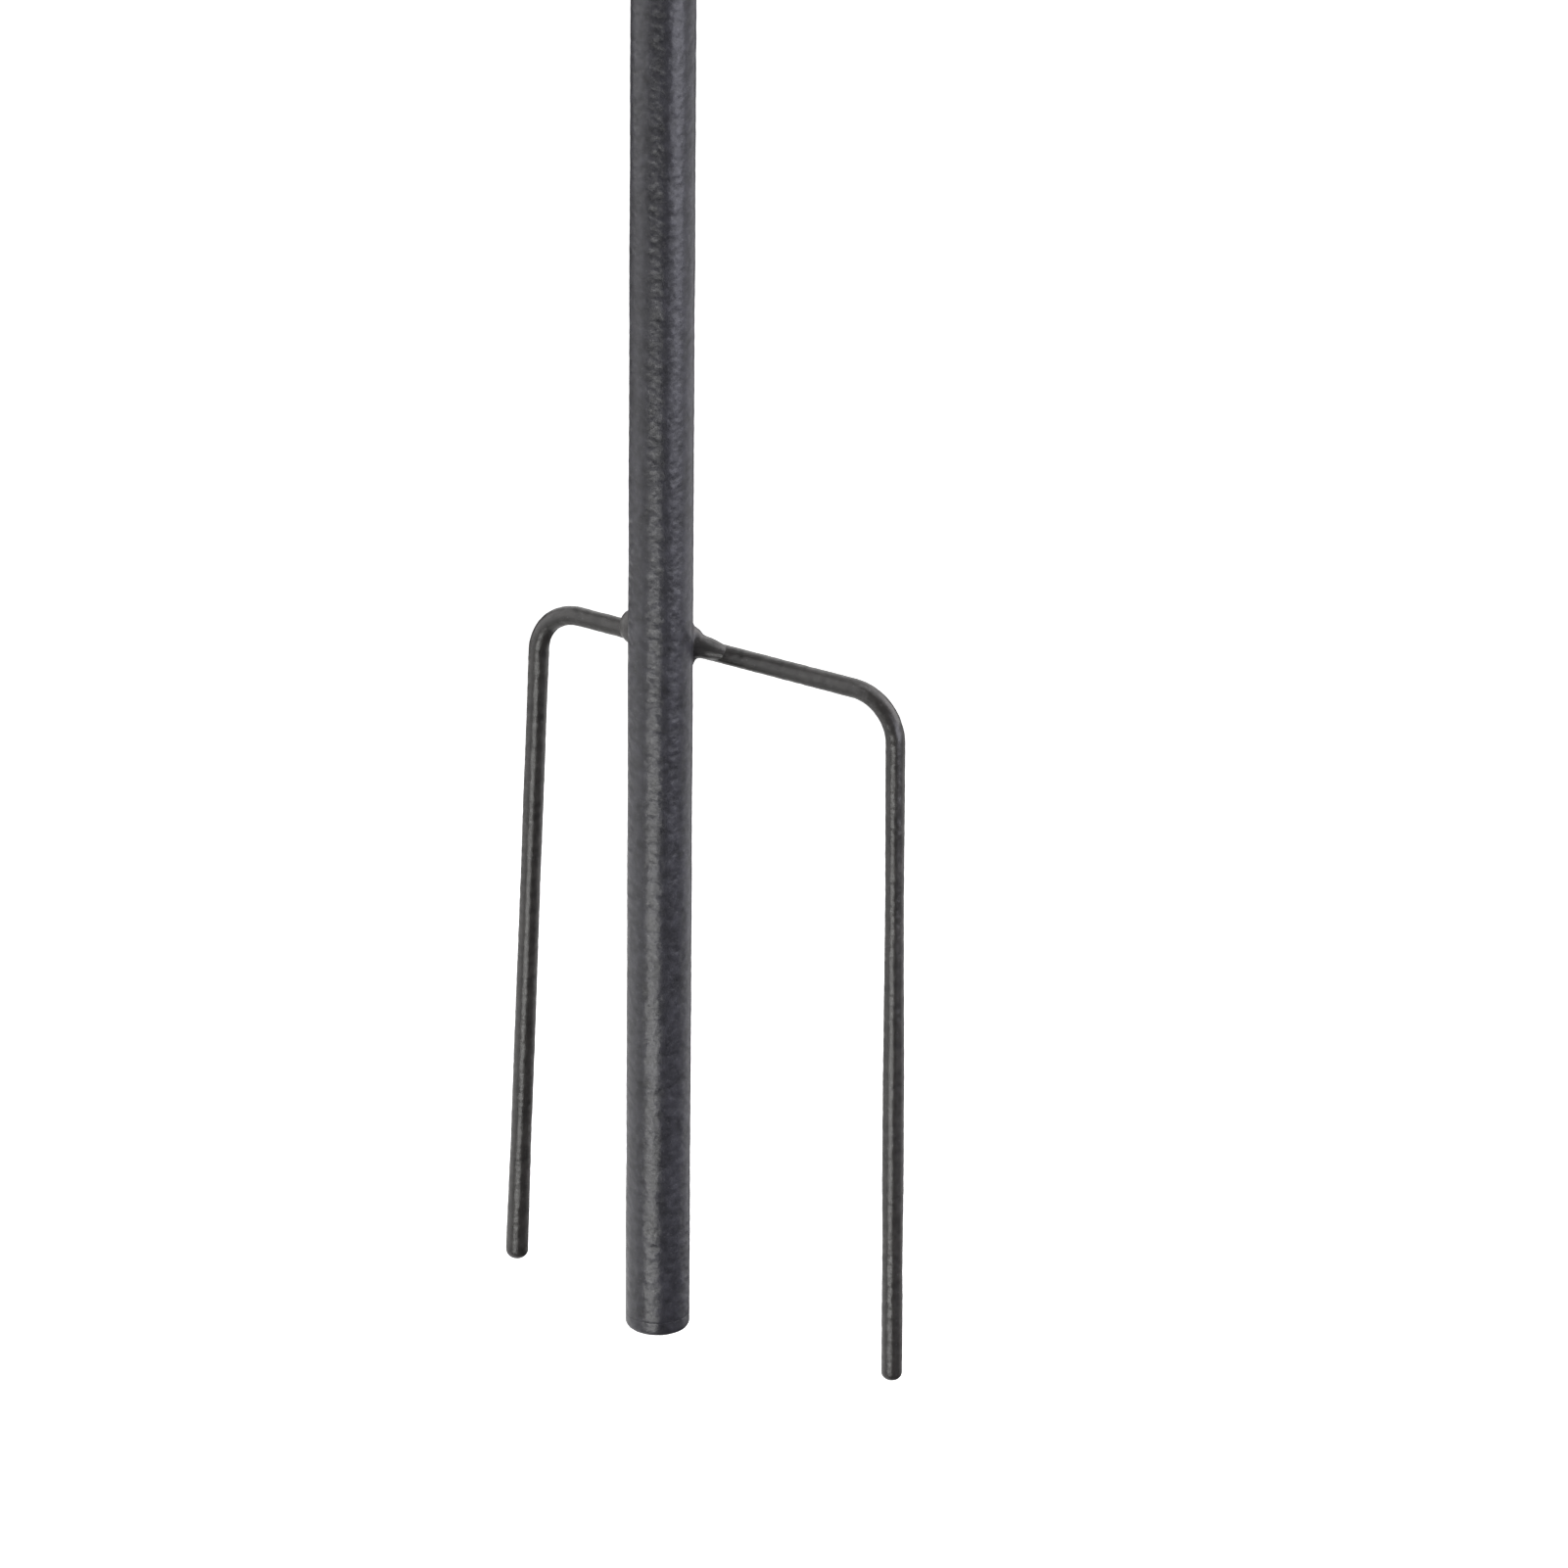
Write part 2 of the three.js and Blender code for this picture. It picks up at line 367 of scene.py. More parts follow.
def new_group(name, inputs, outputs):
    """An empty node group with named sockets, and the nodes at its two ends."""
    group = bpy.data.node_groups.new(name, "ShaderNodeTree")
    for socket, kind, value in inputs:
        made = group.interface.new_socket(socket, in_out="INPUT", socket_type=kind)
        made.default_value = value
    for socket, kind in outputs:
        group.interface.new_socket(socket, in_out="OUTPUT", socket_type=kind)
    start = group.nodes.new("NodeGroupInput")
    end = group.nodes.new("NodeGroupOutput")
    return group, start, end


# The range that noise mostly stays in
NOISE_LOW, NOISE_HIGH = 0.3, 0.7

# What all the coats share: their lumps to a metre, the grains of grit and clouds of colour to one
# lump, the grit's height to a lump's, how far grit and painted glints change the roughness, and how
# much the painted glints show and in what colour.
LUMPS_PER_METRE = 480.0
GRIT_PER_LUMP, CLOUDS_PER_LUMP = 3.4, 0.35
GRIT_HEIGHT = 0.03
GRIT_ROUGHNESS = 0.05
PAINTED_GLINT_GLOSS = 0.3
PAINTED_GLINTS = 0.1
PAINTED_GLINT_COLOR = (0.30, 0.30, 0.31, 1)


def textured_coat_group():
    """Orange-peel powder coat: lumps, fine grit, mottled colour and pale glossy spots of painted
    glint.
    """
    group, start, end = new_group(
        "Textured coat",
        [("Color", "NodeSocketColor", (0.03, 0.03, 0.03, 1)),
         ("Lumps per metre", "NodeSocketFloat", LUMPS_PER_METRE),
         ("Mottle", "NodeSocketFloat", 0.3),
         ("Painted glints", "NodeSocketFloat", PAINTED_GLINTS),
         ("Base roughness", "NodeSocketFloat", 0.42)],
        [("Color", "NodeSocketColor"), ("Roughness", "NodeSocketFloat"),
         ("Height", "NodeSocketFloat")])
    nodes = Nodes(group)
    coords = nodes.add("ShaderNodeTexCoord").outputs["Object"]
    lumps = nodes.noise(coords, start.outputs["Lumps per metre"], detail=1.0, roughness=0.4)
    grit_scale = nodes.math("MULTIPLY", start.outputs["Lumps per metre"], GRIT_PER_LUMP)
    grit = nodes.noise(coords, grit_scale, detail=3.0, roughness=0.6)
    cloud_scale = nodes.math("MULTIPLY", start.outputs["Lumps per metre"], CLOUDS_PER_LUMP)
    cloud = nodes.noise(coords, cloud_scale, detail=3.0, roughness=0.55)
    # Pale, glossier spots in some of the grit's cells: painted glints (the fleck values below).
    cells = nodes.add(
        "ShaderNodeTexVoronoi", {"Vector": coords, "Scale": grit_scale, "Randomness": 1.0})
    glint_pick = nodes.add("ShaderNodeSeparateColor", {"Color": cells.outputs["Color"]})
    fleck = nodes.between(glint_pick.outputs[0], low=0.8, high=1.0)
    middle = nodes.between(cells.outputs["Distance"], low=0.5, high=0.2)
    fleck = nodes.math("MULTIPLY", fleck, middle)
    fleck = nodes.math("MULTIPLY", fleck, start.outputs["Painted glints"])

    tone = nodes.math("ADD", nodes.between(cloud, NOISE_LOW, NOISE_HIGH, -0.5, 0.5),
                      nodes.between(lumps, NOISE_LOW, NOISE_HIGH, -0.5, 0.5))
    tone = nodes.math("MULTIPLY_ADD", tone, start.outputs["Mottle"], 1.0)
    dark = nodes.add("ShaderNodeVectorMath", {0: start.outputs["Color"]}, operation="SCALE")
    group.links.new(tone, dark.inputs["Scale"])
    # The painted glints lighten the coat's colour.
    color = nodes.mix(fleck, dark.outputs[0], PAINTED_GLINT_COLOR)
    group.links.new(color, end.inputs["Color"])

    rough = nodes.math(
        "ADD", start.outputs["Base roughness"],
        nodes.between(grit, NOISE_LOW, NOISE_HIGH, -GRIT_ROUGHNESS, GRIT_ROUGHNESS))
    rough = nodes.math("SUBTRACT", rough, nodes.math("MULTIPLY", fleck, PAINTED_GLINT_GLOSS))
    group.links.new(rough, end.inputs["Roughness"])

    height = nodes.math("MULTIPLY_ADD", grit, GRIT_HEIGHT, lumps)
    group.links.new(height, end.inputs["Height"])
    return group


def new_material(name):
    """An empty material, short calls for its nodes, and its shader."""
    made = bpy.data.materials.new(name)
    made.use_nodes = True
    return made, Nodes(made.node_tree), made.node_tree.nodes["Principled BSDF"]


def link_surface(nodes, shader, color, roughness, height, depth):
    """Feeds a shader its colour, its roughness and a relief of some depth."""
    relief = nodes.add("ShaderNodeBump", {"Strength": 1.0, "Distance": depth, "Height": height})
    nodes.tree.links.new(color, shader.inputs["Base Color"])
    nodes.tree.links.new(roughness, shader.inputs["Roughness"])
    nodes.tree.links.new(relief.outputs["Normal"], shader.inputs["Normal"])


def coat_material(name, color, depth, mottle, roughness):
    """Powder coat over steel."""
    made, nodes, shader = new_material(name)
    group = bpy.data.node_groups.get("Textured coat") or textured_coat_group()
    coat = nodes.add("ShaderNodeGroup", node_tree=group)
    values = {"Color": (*color, 1), "Lumps per metre": LUMPS_PER_METRE, "Mottle": mottle,
              "Painted glints": PAINTED_GLINTS, "Base roughness": roughness}
    for socket, value in values.items():
        coat.inputs[socket].default_value = value
    link_surface(nodes, shader, coat.outputs["Color"], coat.outputs["Roughness"],
                 coat.outputs["Height"], depth)
    return made


def plated_material(name):
    """Zinc-plated steel with fine lengthwise draw marks."""
    made, nodes, shader = new_material(name)
    coords = nodes.add("ShaderNodeTexCoord").outputs["Object"]
    stretched = nodes.add(
        "ShaderNodeMapping", {"Vector": coords, "Scale": (1.0, 1.0, 0.02)}).outputs[0]
    marks = nodes.noise(stretched, scale=2600.0, detail=3.0, roughness=0.6)
    bloom = nodes.noise(coords, scale=160.0, detail=4.0, roughness=0.6)
    dark, pale = (0.15, 0.15, 0.155, 1), (0.22, 0.22, 0.215, 1)
    color = nodes.mix(nodes.between(bloom, 0.35, NOISE_HIGH), dark, pale)
    rough = nodes.math("ADD", nodes.between(bloom, NOISE_LOW, NOISE_HIGH, 0.4, 0.52),
                       nodes.between(marks, NOISE_LOW, NOISE_HIGH, -0.05, 0.05))
    link_surface(nodes, shader, color, rough, marks, 0.004 * MM)
    shader.inputs["Metallic"].default_value = 1.0
    return made


def plastic_material(name):
    """Black moulded plastic with a spark-eroded grain."""
    made, nodes, shader = new_material(name)
    coords = nodes.add("ShaderNodeTexCoord").outputs["Object"]
    grain = nodes.noise(coords, scale=3200.0, detail=2.0, roughness=0.5)
    scuff = nodes.noise(coords, scale=260.0, detail=4.0, roughness=0.6)
    clean, scuffed = (0.012, 0.012, 0.013, 1), (0.024, 0.024, 0.025, 1)
    color = nodes.mix(nodes.between(scuff, 0.45, 0.75), clean, scuffed)
    rough = nodes.between(scuff, NOISE_LOW, NOISE_HIGH, 0.42, 0.56)
    link_surface(nodes, shader, color, rough, grain, 0.02 * MM)
    return made


def material(name):
    """A material by its name, made the first time that it is asked for."""
    if name in bpy.data.materials:
        return bpy.data.materials[name]
    if name == "Zinc-plated sleeve":
        return plated_material(name)
    if name == "Moulded plastic":
        return plastic_material(name)
    coat = settings().coat
    if name == "Pole coat":
        return coat_material(name, coat.pole_color, depth=0.19 * MM, mottle=0.6, roughness=0.36)
    if name == "Rod coat":
        return coat_material(name, coat.rod_color, depth=0.14 * MM, mottle=0.5, roughness=0.34)
    # The beads get the lighter weld charcoal: painted highlight.
    return coat_material(name, coat.weld_color_with_painted_highlight, depth=0.08 * MM, mottle=0.4, roughness=0.4)


# Pieces


class STAKE_OT_lower_pole(bpy.types.Operator):
    """Make the lower section of the pole"""

    bl_idname = "garden_stake.lower_pole"
    bl_label = "Lower pole"

    def execute(self, context):
        make_pole("lower_pole_tube", "lower_pole", "stake", POLE_LOW.z, POLE_HIGH.z,
                  settings().pole.foot_seam)
        return {"FINISHED"}


class STAKE_OT_upper_pole(bpy.types.Operator):
    """Make the upper section of the pole"""

    bl_idname = "garden_stake.upper_pole"
    bl_label = "Upper pole"

    def execute(self, context):
        make_pole("upper_pole_tube", "upper_pole", "upper_section", UPPER_LOW.z, UPPER_HIGH.z)
        return {"FINISHED"}


def make_pole(name, node, body, bottom, top, foot_rounding=None):
    """A section of the pole, coated outside."""
    pole = settings().pole
    bore = POLE_RADIUS - pole.wall
    middle = (POLE_RADIUS + bore) / 2
    roundings = foot_rounding or pole.end_rounding, pole.end_rounding
    bm = tube(bottom, top, POLE_RADIUS, bore, roundings, pole.sides, pole.row_spacing)
    coat_surface(bm, settings().coat, lambda co: math.hypot(co.x, co.y) > middle)
    finish_piece(bm, name, material("Pole coat"), body, node)


class STAKE_OT_foot_plug(bpy.types.Operator):
    """Make the rounded plug that closes the foot of the pole"""

    bl_idname = "garden_stake.foot_plug"
    bl_label = "Foot plug"

    def execute(self, context):
        pole = settings().pole
        spigot = POLE_RADIUS - pole.wall - pole.fit_gap
        head_top = POLE_LOW.z - pole.foot_seam
        seam = pole.foot_seam
        profile = [(0, FOOT_LOW.z)]
        profile += arc((POLE_RADIUS - pole.foot_rounding, FOOT_LOW.z + pole.foot_rounding),
                       pole.foot_rounding, -QUARTER, 0, steps=8)
        profile += arc((POLE_RADIUS - seam, head_top - seam), seam, 0, QUARTER, RIM_STEPS)
        profile += [(spigot, head_top), (spigot, FOOT_HIGH.z), (0, FOOT_HIGH.z)]
        bm = spun(profile, pole.sides, pole.row_spacing)
        coat_surface(bm, settings().coat, lambda co: co.z < head_top)
        finish_piece(bm, "foot_cap", material("Pole coat"), "stake", "foot_plug")
        return {"FINISHED"}


class STAKE_OT_top_cap(bpy.types.Operator):
    """Make the plastic cap in the top of the pole"""

    bl_idname = "garden_stake.top_cap"
    bl_label = "Top cap"

    def execute(self, context):
        pole = settings().pole
        spigot = POLE_RADIUS - pole.wall - pole.fit_gap
        head_bottom = CAP_HIGH.z - pole.cap_head
        rounding = pole.cap_rounding
        profile = [(0, CAP_LOW.z), (spigot - rounding, CAP_LOW.z), (spigot, CAP_LOW.z + rounding),
                   (spigot, head_bottom), (POLE_RADIUS, head_bottom)]
        profile += arc(
            (POLE_RADIUS - rounding, CAP_HIGH.z - rounding), rounding, 0, QUARTER, steps=6)
        profile += [(0, CAP_HIGH.z)]
        bm = spun(profile, pole.sides, 2 * pole.row_spacing)
        finish_piece(bm, "top_cap", material("Moulded plastic"), "upper_section",
                     "top_plug")
        return {"FINISHED"}


class STAKE_OT_sleeve(bpy.types.Operator):
    """Make the loose inner sleeve with its stop ring"""

    bl_idname = "garden_stake.sleeve"
    bl_label = "Joining sleeve"

    def execute(self, context):
        pole, sleeve = settings().pole, settings().sleeve
        outer = POLE_RADIUS - pole.wall - sleeve.clearance
        inner = outer - sleeve.wall
        rounding = sleeve.end_rounding
        middle = (SLEEVE_LOW.z + SLEEVE_HIGH.z) / 2
        low, high = middle - sleeve.ring_height / 2, middle + sleeve.ring_height / 2
        edge = pole.end_rounding
        profile = [(inner, SLEEVE_LOW.z)]
        profile += arc(
            (outer - rounding, SLEEVE_LOW.z + rounding), rounding, -QUARTER, 0, steps=5)
        profile += [(outer, low)]
        profile += arc((POLE_RADIUS - edge, low + edge), edge, -QUARTER, 0, RIM_STEPS)
        profile += arc((POLE_RADIUS - edge, high - edge), edge, 0, QUARTER, RIM_STEPS)
        profile += [(outer, high)]
        profile += arc(
            (outer - rounding, SLEEVE_HIGH.z - rounding), rounding, 0, QUARTER, steps=5)
        profile += [(inner, SLEEVE_HIGH.z)]
        bm = spun(profile, pole.sides, closed=True)
        finish_piece(bm, "sleeve_tube", material("Zinc-plated sleeve"), "sleeve",
                     "joining_sleeve")
        return {"FINISHED"}


def extruded_ring(bm, edges, move, cuts=0):
    """Extrudes a ring of edges by a move, cut into rows, and returns the new ring's edges."""
    old = {vert for edge in edges for vert in edge.verts}
    made = bmesh.ops.extrude_edge_only(bm, edges=edges)["geom"]
    verts = [item for item in made if isinstance(item, bmesh.types.BMVert)]
    bmesh.ops.translate(bm, verts=verts, vec=move)
    ring = set(verts)
    new_edges = [
        item for item in made
        if isinstance(item, bmesh.types.BMEdge) and ring.issuperset(item.verts)]
    if cuts:
        long_edges = [edge for vert in verts for edge in vert.link_edges
                      if edge.other_vert(vert) in old]
        bmesh.ops.subdivide_edges(bm, edges=long_edges, cuts=cuts, use_grid_fill=True)
    return new_edges


def bent_ring(bm, edges, centre, angle, steps):
    """Spins a ring of edges round a bend in the fork's plane, and returns the last ring's edges."""
    verts = list({vert for edge in edges for vert in edge.verts})
    made = bmesh.ops.spin(bm, geom=verts + edges, cent=centre, axis=(0, 1, 0),
                          angle=angle, steps=steps)["geom_last"]
    return [item for item in made if isinstance(item, bmesh.types.BMEdge)]


def rounded_end(bm, edges, direction, rounding, steps=6):
    """Closes a rod's end with a rounded edge and a nearly flat middle."""
    along, radius = 0.0, ROD_RADIUS
    for step in range(1, steps + 1):
        angle = QUARTER * step / steps
        new_along = rounding * math.sin(angle)
        new_radius = ROD_RADIUS - rounding * (1 - math.cos(angle))
        edges = extruded_ring(bm, edges, direction * (new_along - along))
        verts = list({vert for edge in edges for vert in edge.verts})
        centre = sum((vert.co for vert in verts), Vector()) / len(verts)
        shrink = Matrix.Diagonal((new_radius / radius,) * 3)
        bmesh.ops.transform(bm, matrix=shrink.to_4x4(), space=Matrix.Translation(-centre),
                            verts=verts)
        along, radius = new_along, new_radius
    last = extruded_ring(bm, edges, Vector())
    verts = list({vert for edge in last for vert in edge.verts})
    centre = sum((vert.co for vert in verts), Vector()) / len(verts)
    bmesh.ops.pointmerge(bm, verts=verts, merge_co=centre)


# Where the coat has run thicker down a prong: its side, the heights where the run starts and is
# full, and its thickness.
COAT_RUNS = (
    (-1, 0, -10 * MM, 0.15 * MM),
    (-1, -140 * MM, -168 * MM, 0.22 * MM),
    (1, -72 * MM, -98 * MM, 0.3 * MM),
    (1, -125 * MM, -150 * MM, -0.12 * MM),
)


class STAKE_OT_fork(bpy.types.Operator):
    """Make the fork: one rod with two bends"""

    bl_idname = "garden_stake.fork"
    bl_label = "Fork"

    def execute(self, context):
        fork = settings().fork
        up = Vector((math.sin(fork.left_lean), 0, math.cos(fork.left_lean)))
        across = Vector((1, 0, 0))
        down = Vector((math.sin(fork.right_lean), 0, -math.cos(fork.right_lean)))
        left_turn, right_turn = up.angle(across), across.angle(down)
        left_corner = Vector((-fork.left_reach, ROD_BACK, CROSSBAR_HEIGHT))
        right_corner = Vector((fork.right_reach, ROD_BACK, CROSSBAR_HEIGHT))
        left_setback = fork.bend_radius * math.tan(left_turn / 2)
        right_setback = fork.bend_radius * math.tan(right_turn / 2)
        left_drop = (fork.left_tip_depth + CROSSBAR_HEIGHT) / up.z
        right_drop = (CROSSBAR_HEIGHT - FORK_LOW.z) / -down.z
        left_length = left_drop - left_setback - fork.tip_rounding
        right_length = right_drop - right_setback - fork.tip_rounding
        bar_length = fork.left_reach + fork.right_reach - left_setback - right_setback

        bm = bmesh.new()
        start = left_corner - up * (left_drop - fork.tip_rounding)
        place = Matrix.Translation(start) @ Matrix.Rotation(fork.left_lean, 4, "Y")
        circle = bmesh.ops.create_circle(
            bm, segments=fork.sides, radius=ROD_RADIUS, matrix=place)["verts"]
        first = list({edge for vert in circle for edge in vert.link_edges})

        def rows(length):
            """How many rows a stretch of the rod is cut into."""
            return round(length / fork.row_spacing)

        ring = extruded_ring(bm, first, up * left_length, rows(left_length))
        bend_start = left_corner - up * left_setback
        centre = bend_start + up.cross(Vector((0, 1, 0))) * -fork.bend_radius
        ring = bent_ring(bm, ring, centre, left_turn, rows(fork.bend_radius * left_turn))
        ring = extruded_ring(bm, ring, across * bar_length, rows(bar_length))
        bend_start = right_corner - across * right_setback
        centre = bend_start + across.cross(Vector((0, 1, 0))) * -fork.bend_radius
        ring = bent_ring(bm, ring, centre, right_turn, rows(fork.bend_radius * right_turn))
        ring = extruded_ring(bm, ring, down * right_length, rows(right_length))
        rounded_end(bm, ring, down, fork.tip_rounding)
        rounded_end(bm, first, -up, fork.tip_rounding)
        bmesh.ops.remove_doubles(bm, verts=bm.verts[:], dist=MERGE_DISTANCE)
        bmesh.ops.recalc_face_normals(bm, faces=bm.faces[:])
        coat_surface(bm, settings().coat, runs=COAT_RUNS)
        finish_piece(bm, "fork", material("Rod coat"), "stake", "fork_rod")
        return {"FINISHED"}


# The runs of weld metal in each bead, in millimetres. Each is the centre and the three radii of a
# blob: across from the pole's axis, back from it, and up from the crossbar's axis.
LEFT_RUNS = (
    ((13.8, 9.6, 1.6), (4.0, 3.0, 4.8)),
    ((8.6, 8.9, 1.5), (6.0, 3.2, 4.6)),
    ((4.3, 8.6, 1.2), (4.5, 3.1, 4.8)),
)
RIGHT_RUNS = (
    ((3.2, 7.4, 3.4), (1.8, 2.1, 6.4)),
    ((4.0, 9.0, 2.7), (2.6, 2.1, 3.5)),
    ((5.2, 9.6, 1.0), (8.4, 3.1, 2.9)),
    ((7.3, 8.8, 1.9), (1.5, 1.7, 2.1)),
    ((3.7, 7.2, -1.6), (1.6, 1.7, 2.7)),
)

# How far a bead's root stays under the surfaces of pole and rod, how deep it goes into the pole, how
# far it reaches below and above the crossbar's axis, and how far round the pole.
ROOT_COVER = 0.12 * MM
ROOT_DEPTH = 0.9 * MM
ROOT_BELOW, ROOT_ABOVE = 5.0 * MM, 10.0 * MM
ROOT_ANGLE, ROOT_STEPS = math.radians(95), 40

# The coat is thinner and flatter on a bead: its lumps and swellings as shares of the pole's
BEAD_GRAIN, BEAD_WAVE = 0.5, 0.5


class STAKE_OT_welds(bpy.types.Operator):
    """Make the two weld beads between the pole and the fork"""

    bl_idname = "garden_stake.welds"
    bl_label = "Weld beads"

    def execute(self, context):
        make_weld("weld_bead_left", "weld_left", -1, LEFT_RUNS)
        make_weld("weld_bead_right", "weld_right", 1, RIGHT_RUNS)
        return {"FINISHED"}


def blob(bm, centre, radii):
    """Adds an ellipsoid of weld metal."""
    shape = Matrix.Translation(centre) @ Matrix.Diagonal((*radii, 1))
    bmesh.ops.create_icosphere(bm, subdivisions=4, radius=1, matrix=shape)


def make_weld(name, node, side, runs):
    """A bead in the corner between pole and crossbar, run into both by smoothing."""
    weld = settings().weld
    bm = bmesh.new()

    # The bead's root in the pole's wall
    inner_radius, outer_radius = POLE_RADIUS - ROOT_DEPTH, POLE_RADIUS - ROOT_COVER
    low, high = CROSSBAR_HEIGHT - ROOT_BELOW, CROSSBAR_HEIGHT + ROOT_ABOVE
    corners = [(inner_radius, low), (outer_radius, low), (outer_radius, high), (inner_radius, high)]
    verts = [bm.verts.new((0, radius, height)) for radius, height in corners]
    face = bm.faces.new(verts)
    bmesh.ops.spin(bm, geom=[face], cent=(0, 0, 0), axis=(0, 0, -side),
                   angle=ROOT_ANGLE, steps=ROOT_STEPS)

    # Its root in the rod
    length = max(centre[0] + radii[0] for centre, radii in runs) * MM
    middle = Vector((side * length / 2, ROD_BACK, CROSSBAR_HEIGHT))
    turn = Matrix.Rotation(QUARTER, 4, "Y")
    radius = ROD_RADIUS - ROOT_COVER
    bmesh.ops.create_cone(
        bm, cap_ends=True, segments=32, radius1=radius, radius2=radius, depth=length,
        matrix=Matrix.Translation(middle) @ turn)

    # The runs of metal between them
    for (across, back, up), radii in runs:
        blob(bm, (side * across * MM, back * MM, CROSSBAR_HEIGHT + up * MM),
             [radius * MM for radius in radii])

    # All of it run together
    rough = bpy.data.meshes.new(name + "_rough")
    bm.to_mesh(rough)
    bm.free()
    holder = bpy.data.objects.new(name + "_rough", rough)
    bpy.context.scene.collection.objects.link(holder)
    remesh = holder.modifiers.new("Run together", "REMESH")
    remesh.mode = "VOXEL"
    remesh.voxel_size = weld.voxel
    bm = bmesh.new()
    bm.from_object(holder, bpy.context.evaluated_depsgraph_get())
    bpy.data.objects.remove(holder)
    bpy.data.meshes.remove(rough)
    for _ in range(weld.smoothing):
        bmesh.ops.smooth_vert(bm, verts=bm.verts[:], factor=0.5,
                              use_axis_x=True, use_axis_y=True, use_axis_z=True)
    coat_surface(bm, settings().coat, grain=BEAD_GRAIN, wave=BEAD_WAVE)
    finish_piece(bm, name, material("Weld coat with painted highlight"), "stake", node)


# Stage


def studio_point(studio, bearing, distance, height):
    """A point at a bearing to the right of the camera's, a level distance and a height."""
    angle = studio.azimuth + bearing
    return Vector((distance * math.sin(angle), -distance * math.cos(angle), height))


def add_softbox(name, position, target, width, height, power, color):
    """A rectangular light that faces its target and isn't seen by the camera."""
    light = bpy.data.lights.new(name, "AREA")
    light.shape = "RECTANGLE"
    light.size, light.size_y = width, height
    light.energy = power
    light.color = color
    lamp = bpy.data.objects.new(name, light)
    lamp.location = position
    lamp.rotation_euler = (target - position).to_track_quat("-Z", "Y").to_euler()
    lamp.visible_camera = False
    bpy.context.scene.collection.objects.link(lamp)


# Each softbox: its name, its bearing to the right of the camera's in degrees, its distance and height
# in metres, its width and length in metres, its power in watts and its colour.
SOFTBOXES = (
    ("left_front_low", -24, 0.7, -0.42, 0.55, 0.2, 2.9, (1.0, 1.0, 0.98)),
    ("left_low", -75, 0.9, -0.5, 0.7, 0.3, 0.75, (1.0, 1.0, 1.0)),
    ("left_wall", -88, 0.9, 0.35, 1.6, 1.5, 14.0, (1.0, 0.99, 1.0)),
    ("right_front", 53, 0.7, 0.0, 0.55, 0.42, 3.3, (0.90, 0.90, 1.0)),
    ("right_wall", 100, 0.9, 0.6, 1.2, 1.2, 16.0, (1.0, 0.98, 1.0)),
    ("right_back_low", 117, 0.7, -0.28, 0.8, 0.45, 1.0, (1.0, 1.0, 1.0)),
    ("back_wall", 180, 1.0, 0.5, 1.4, 1.0, 6.4, (1.0, 1.0, 1.0)),
    ("overhead", 150, 0.1, 1.5, 1.2, 1.2, 11.0, (1.0, 1.0, 1.0)),
    ("underneath", -130, 0.45, -0.74, 1.2, 1.2, 5.3, (1.0, 1.0, 1.0)),
)


def make_lights(studio):
    """A light tent: softboxes on all sides, above and below, with the strongest at the two sides."""
    for name, bearing, distance, height, wide, tall, power, color in SOFTBOXES:
        position = studio_point(studio, math.radians(bearing), distance, height)
        add_softbox(name, position, Vector(), wide, tall, power, color)


FILL_STRENGTH = 0.03
BACKDROP_STRENGTH = 1.05


def make_world():
    """White where the camera sees past the floor, and a dimmer even fill for the object."""
    world = bpy.data.worlds.new("Studio")
    world.use_nodes = True
    bpy.context.scene.world = world
    tree = world.node_tree
    fill = tree.nodes["Background"]
    fill.inputs["Color"].default_value = (1, 1, 1, 1)
    fill.inputs["Strength"].default_value = FILL_STRENGTH
    backdrop = tree.nodes.new("ShaderNodeBackground")
    backdrop.inputs["Strength"].default_value = BACKDROP_STRENGTH
    path = tree.nodes.new("ShaderNodeLightPath")
    blend = tree.nodes.new("ShaderNodeMixShader")
    tree.links.new(path.outputs["Is Camera Ray"], blend.inputs[0])
    tree.links.new(fill.outputs[0], blend.inputs[1])
    tree.links.new(backdrop.outputs[0], blend.inputs[2])
    tree.links.new(blend.outputs[0], tree.nodes["World Output"].inputs["Surface"])


FLOOR_HALF_WIDTH = 20


def make_floor(studio):
    """A plain pale floor, lit from inside like a light table."""
    bm = bmesh.new()
    bmesh.ops.create_grid(bm, x_segments=1, y_segments=1, size=FLOOR_HALF_WIDTH)
    bmesh.ops.translate(bm, verts=bm.verts[:], vec=(0, 0, FORK_LOW.z - studio.floor_drop))
    mesh = bpy.data.meshes.new("floor")
    bm.to_mesh(mesh)
    bm.free()
    floor = bpy.data.objects.new("floor", mesh)
    bpy.context.scene.collection.objects.link(floor)
    paper = bpy.data.materials.new("Pale floor")
    paper.use_nodes = True
    shader = paper.node_tree.nodes["Principled BSDF"]
    shader.inputs["Base Color"].default_value = (0.85, 0.85, 0.85, 1)
    shader.inputs["Roughness"].default_value = 0.9
    shader.inputs["Specular IOR Level"].default_value = 0.0
    shader.inputs["Emission Color"].default_value = (1, 1, 1, 1)
    shader.inputs["Emission Strength"].default_value = 1.0
    mesh.materials.append(paper)
    floor.visible_glossy = False
    floor.visible_diffuse = False


SENSOR_WIDTH = 36
CLIP_START, CLIP_END = 0.1, 60


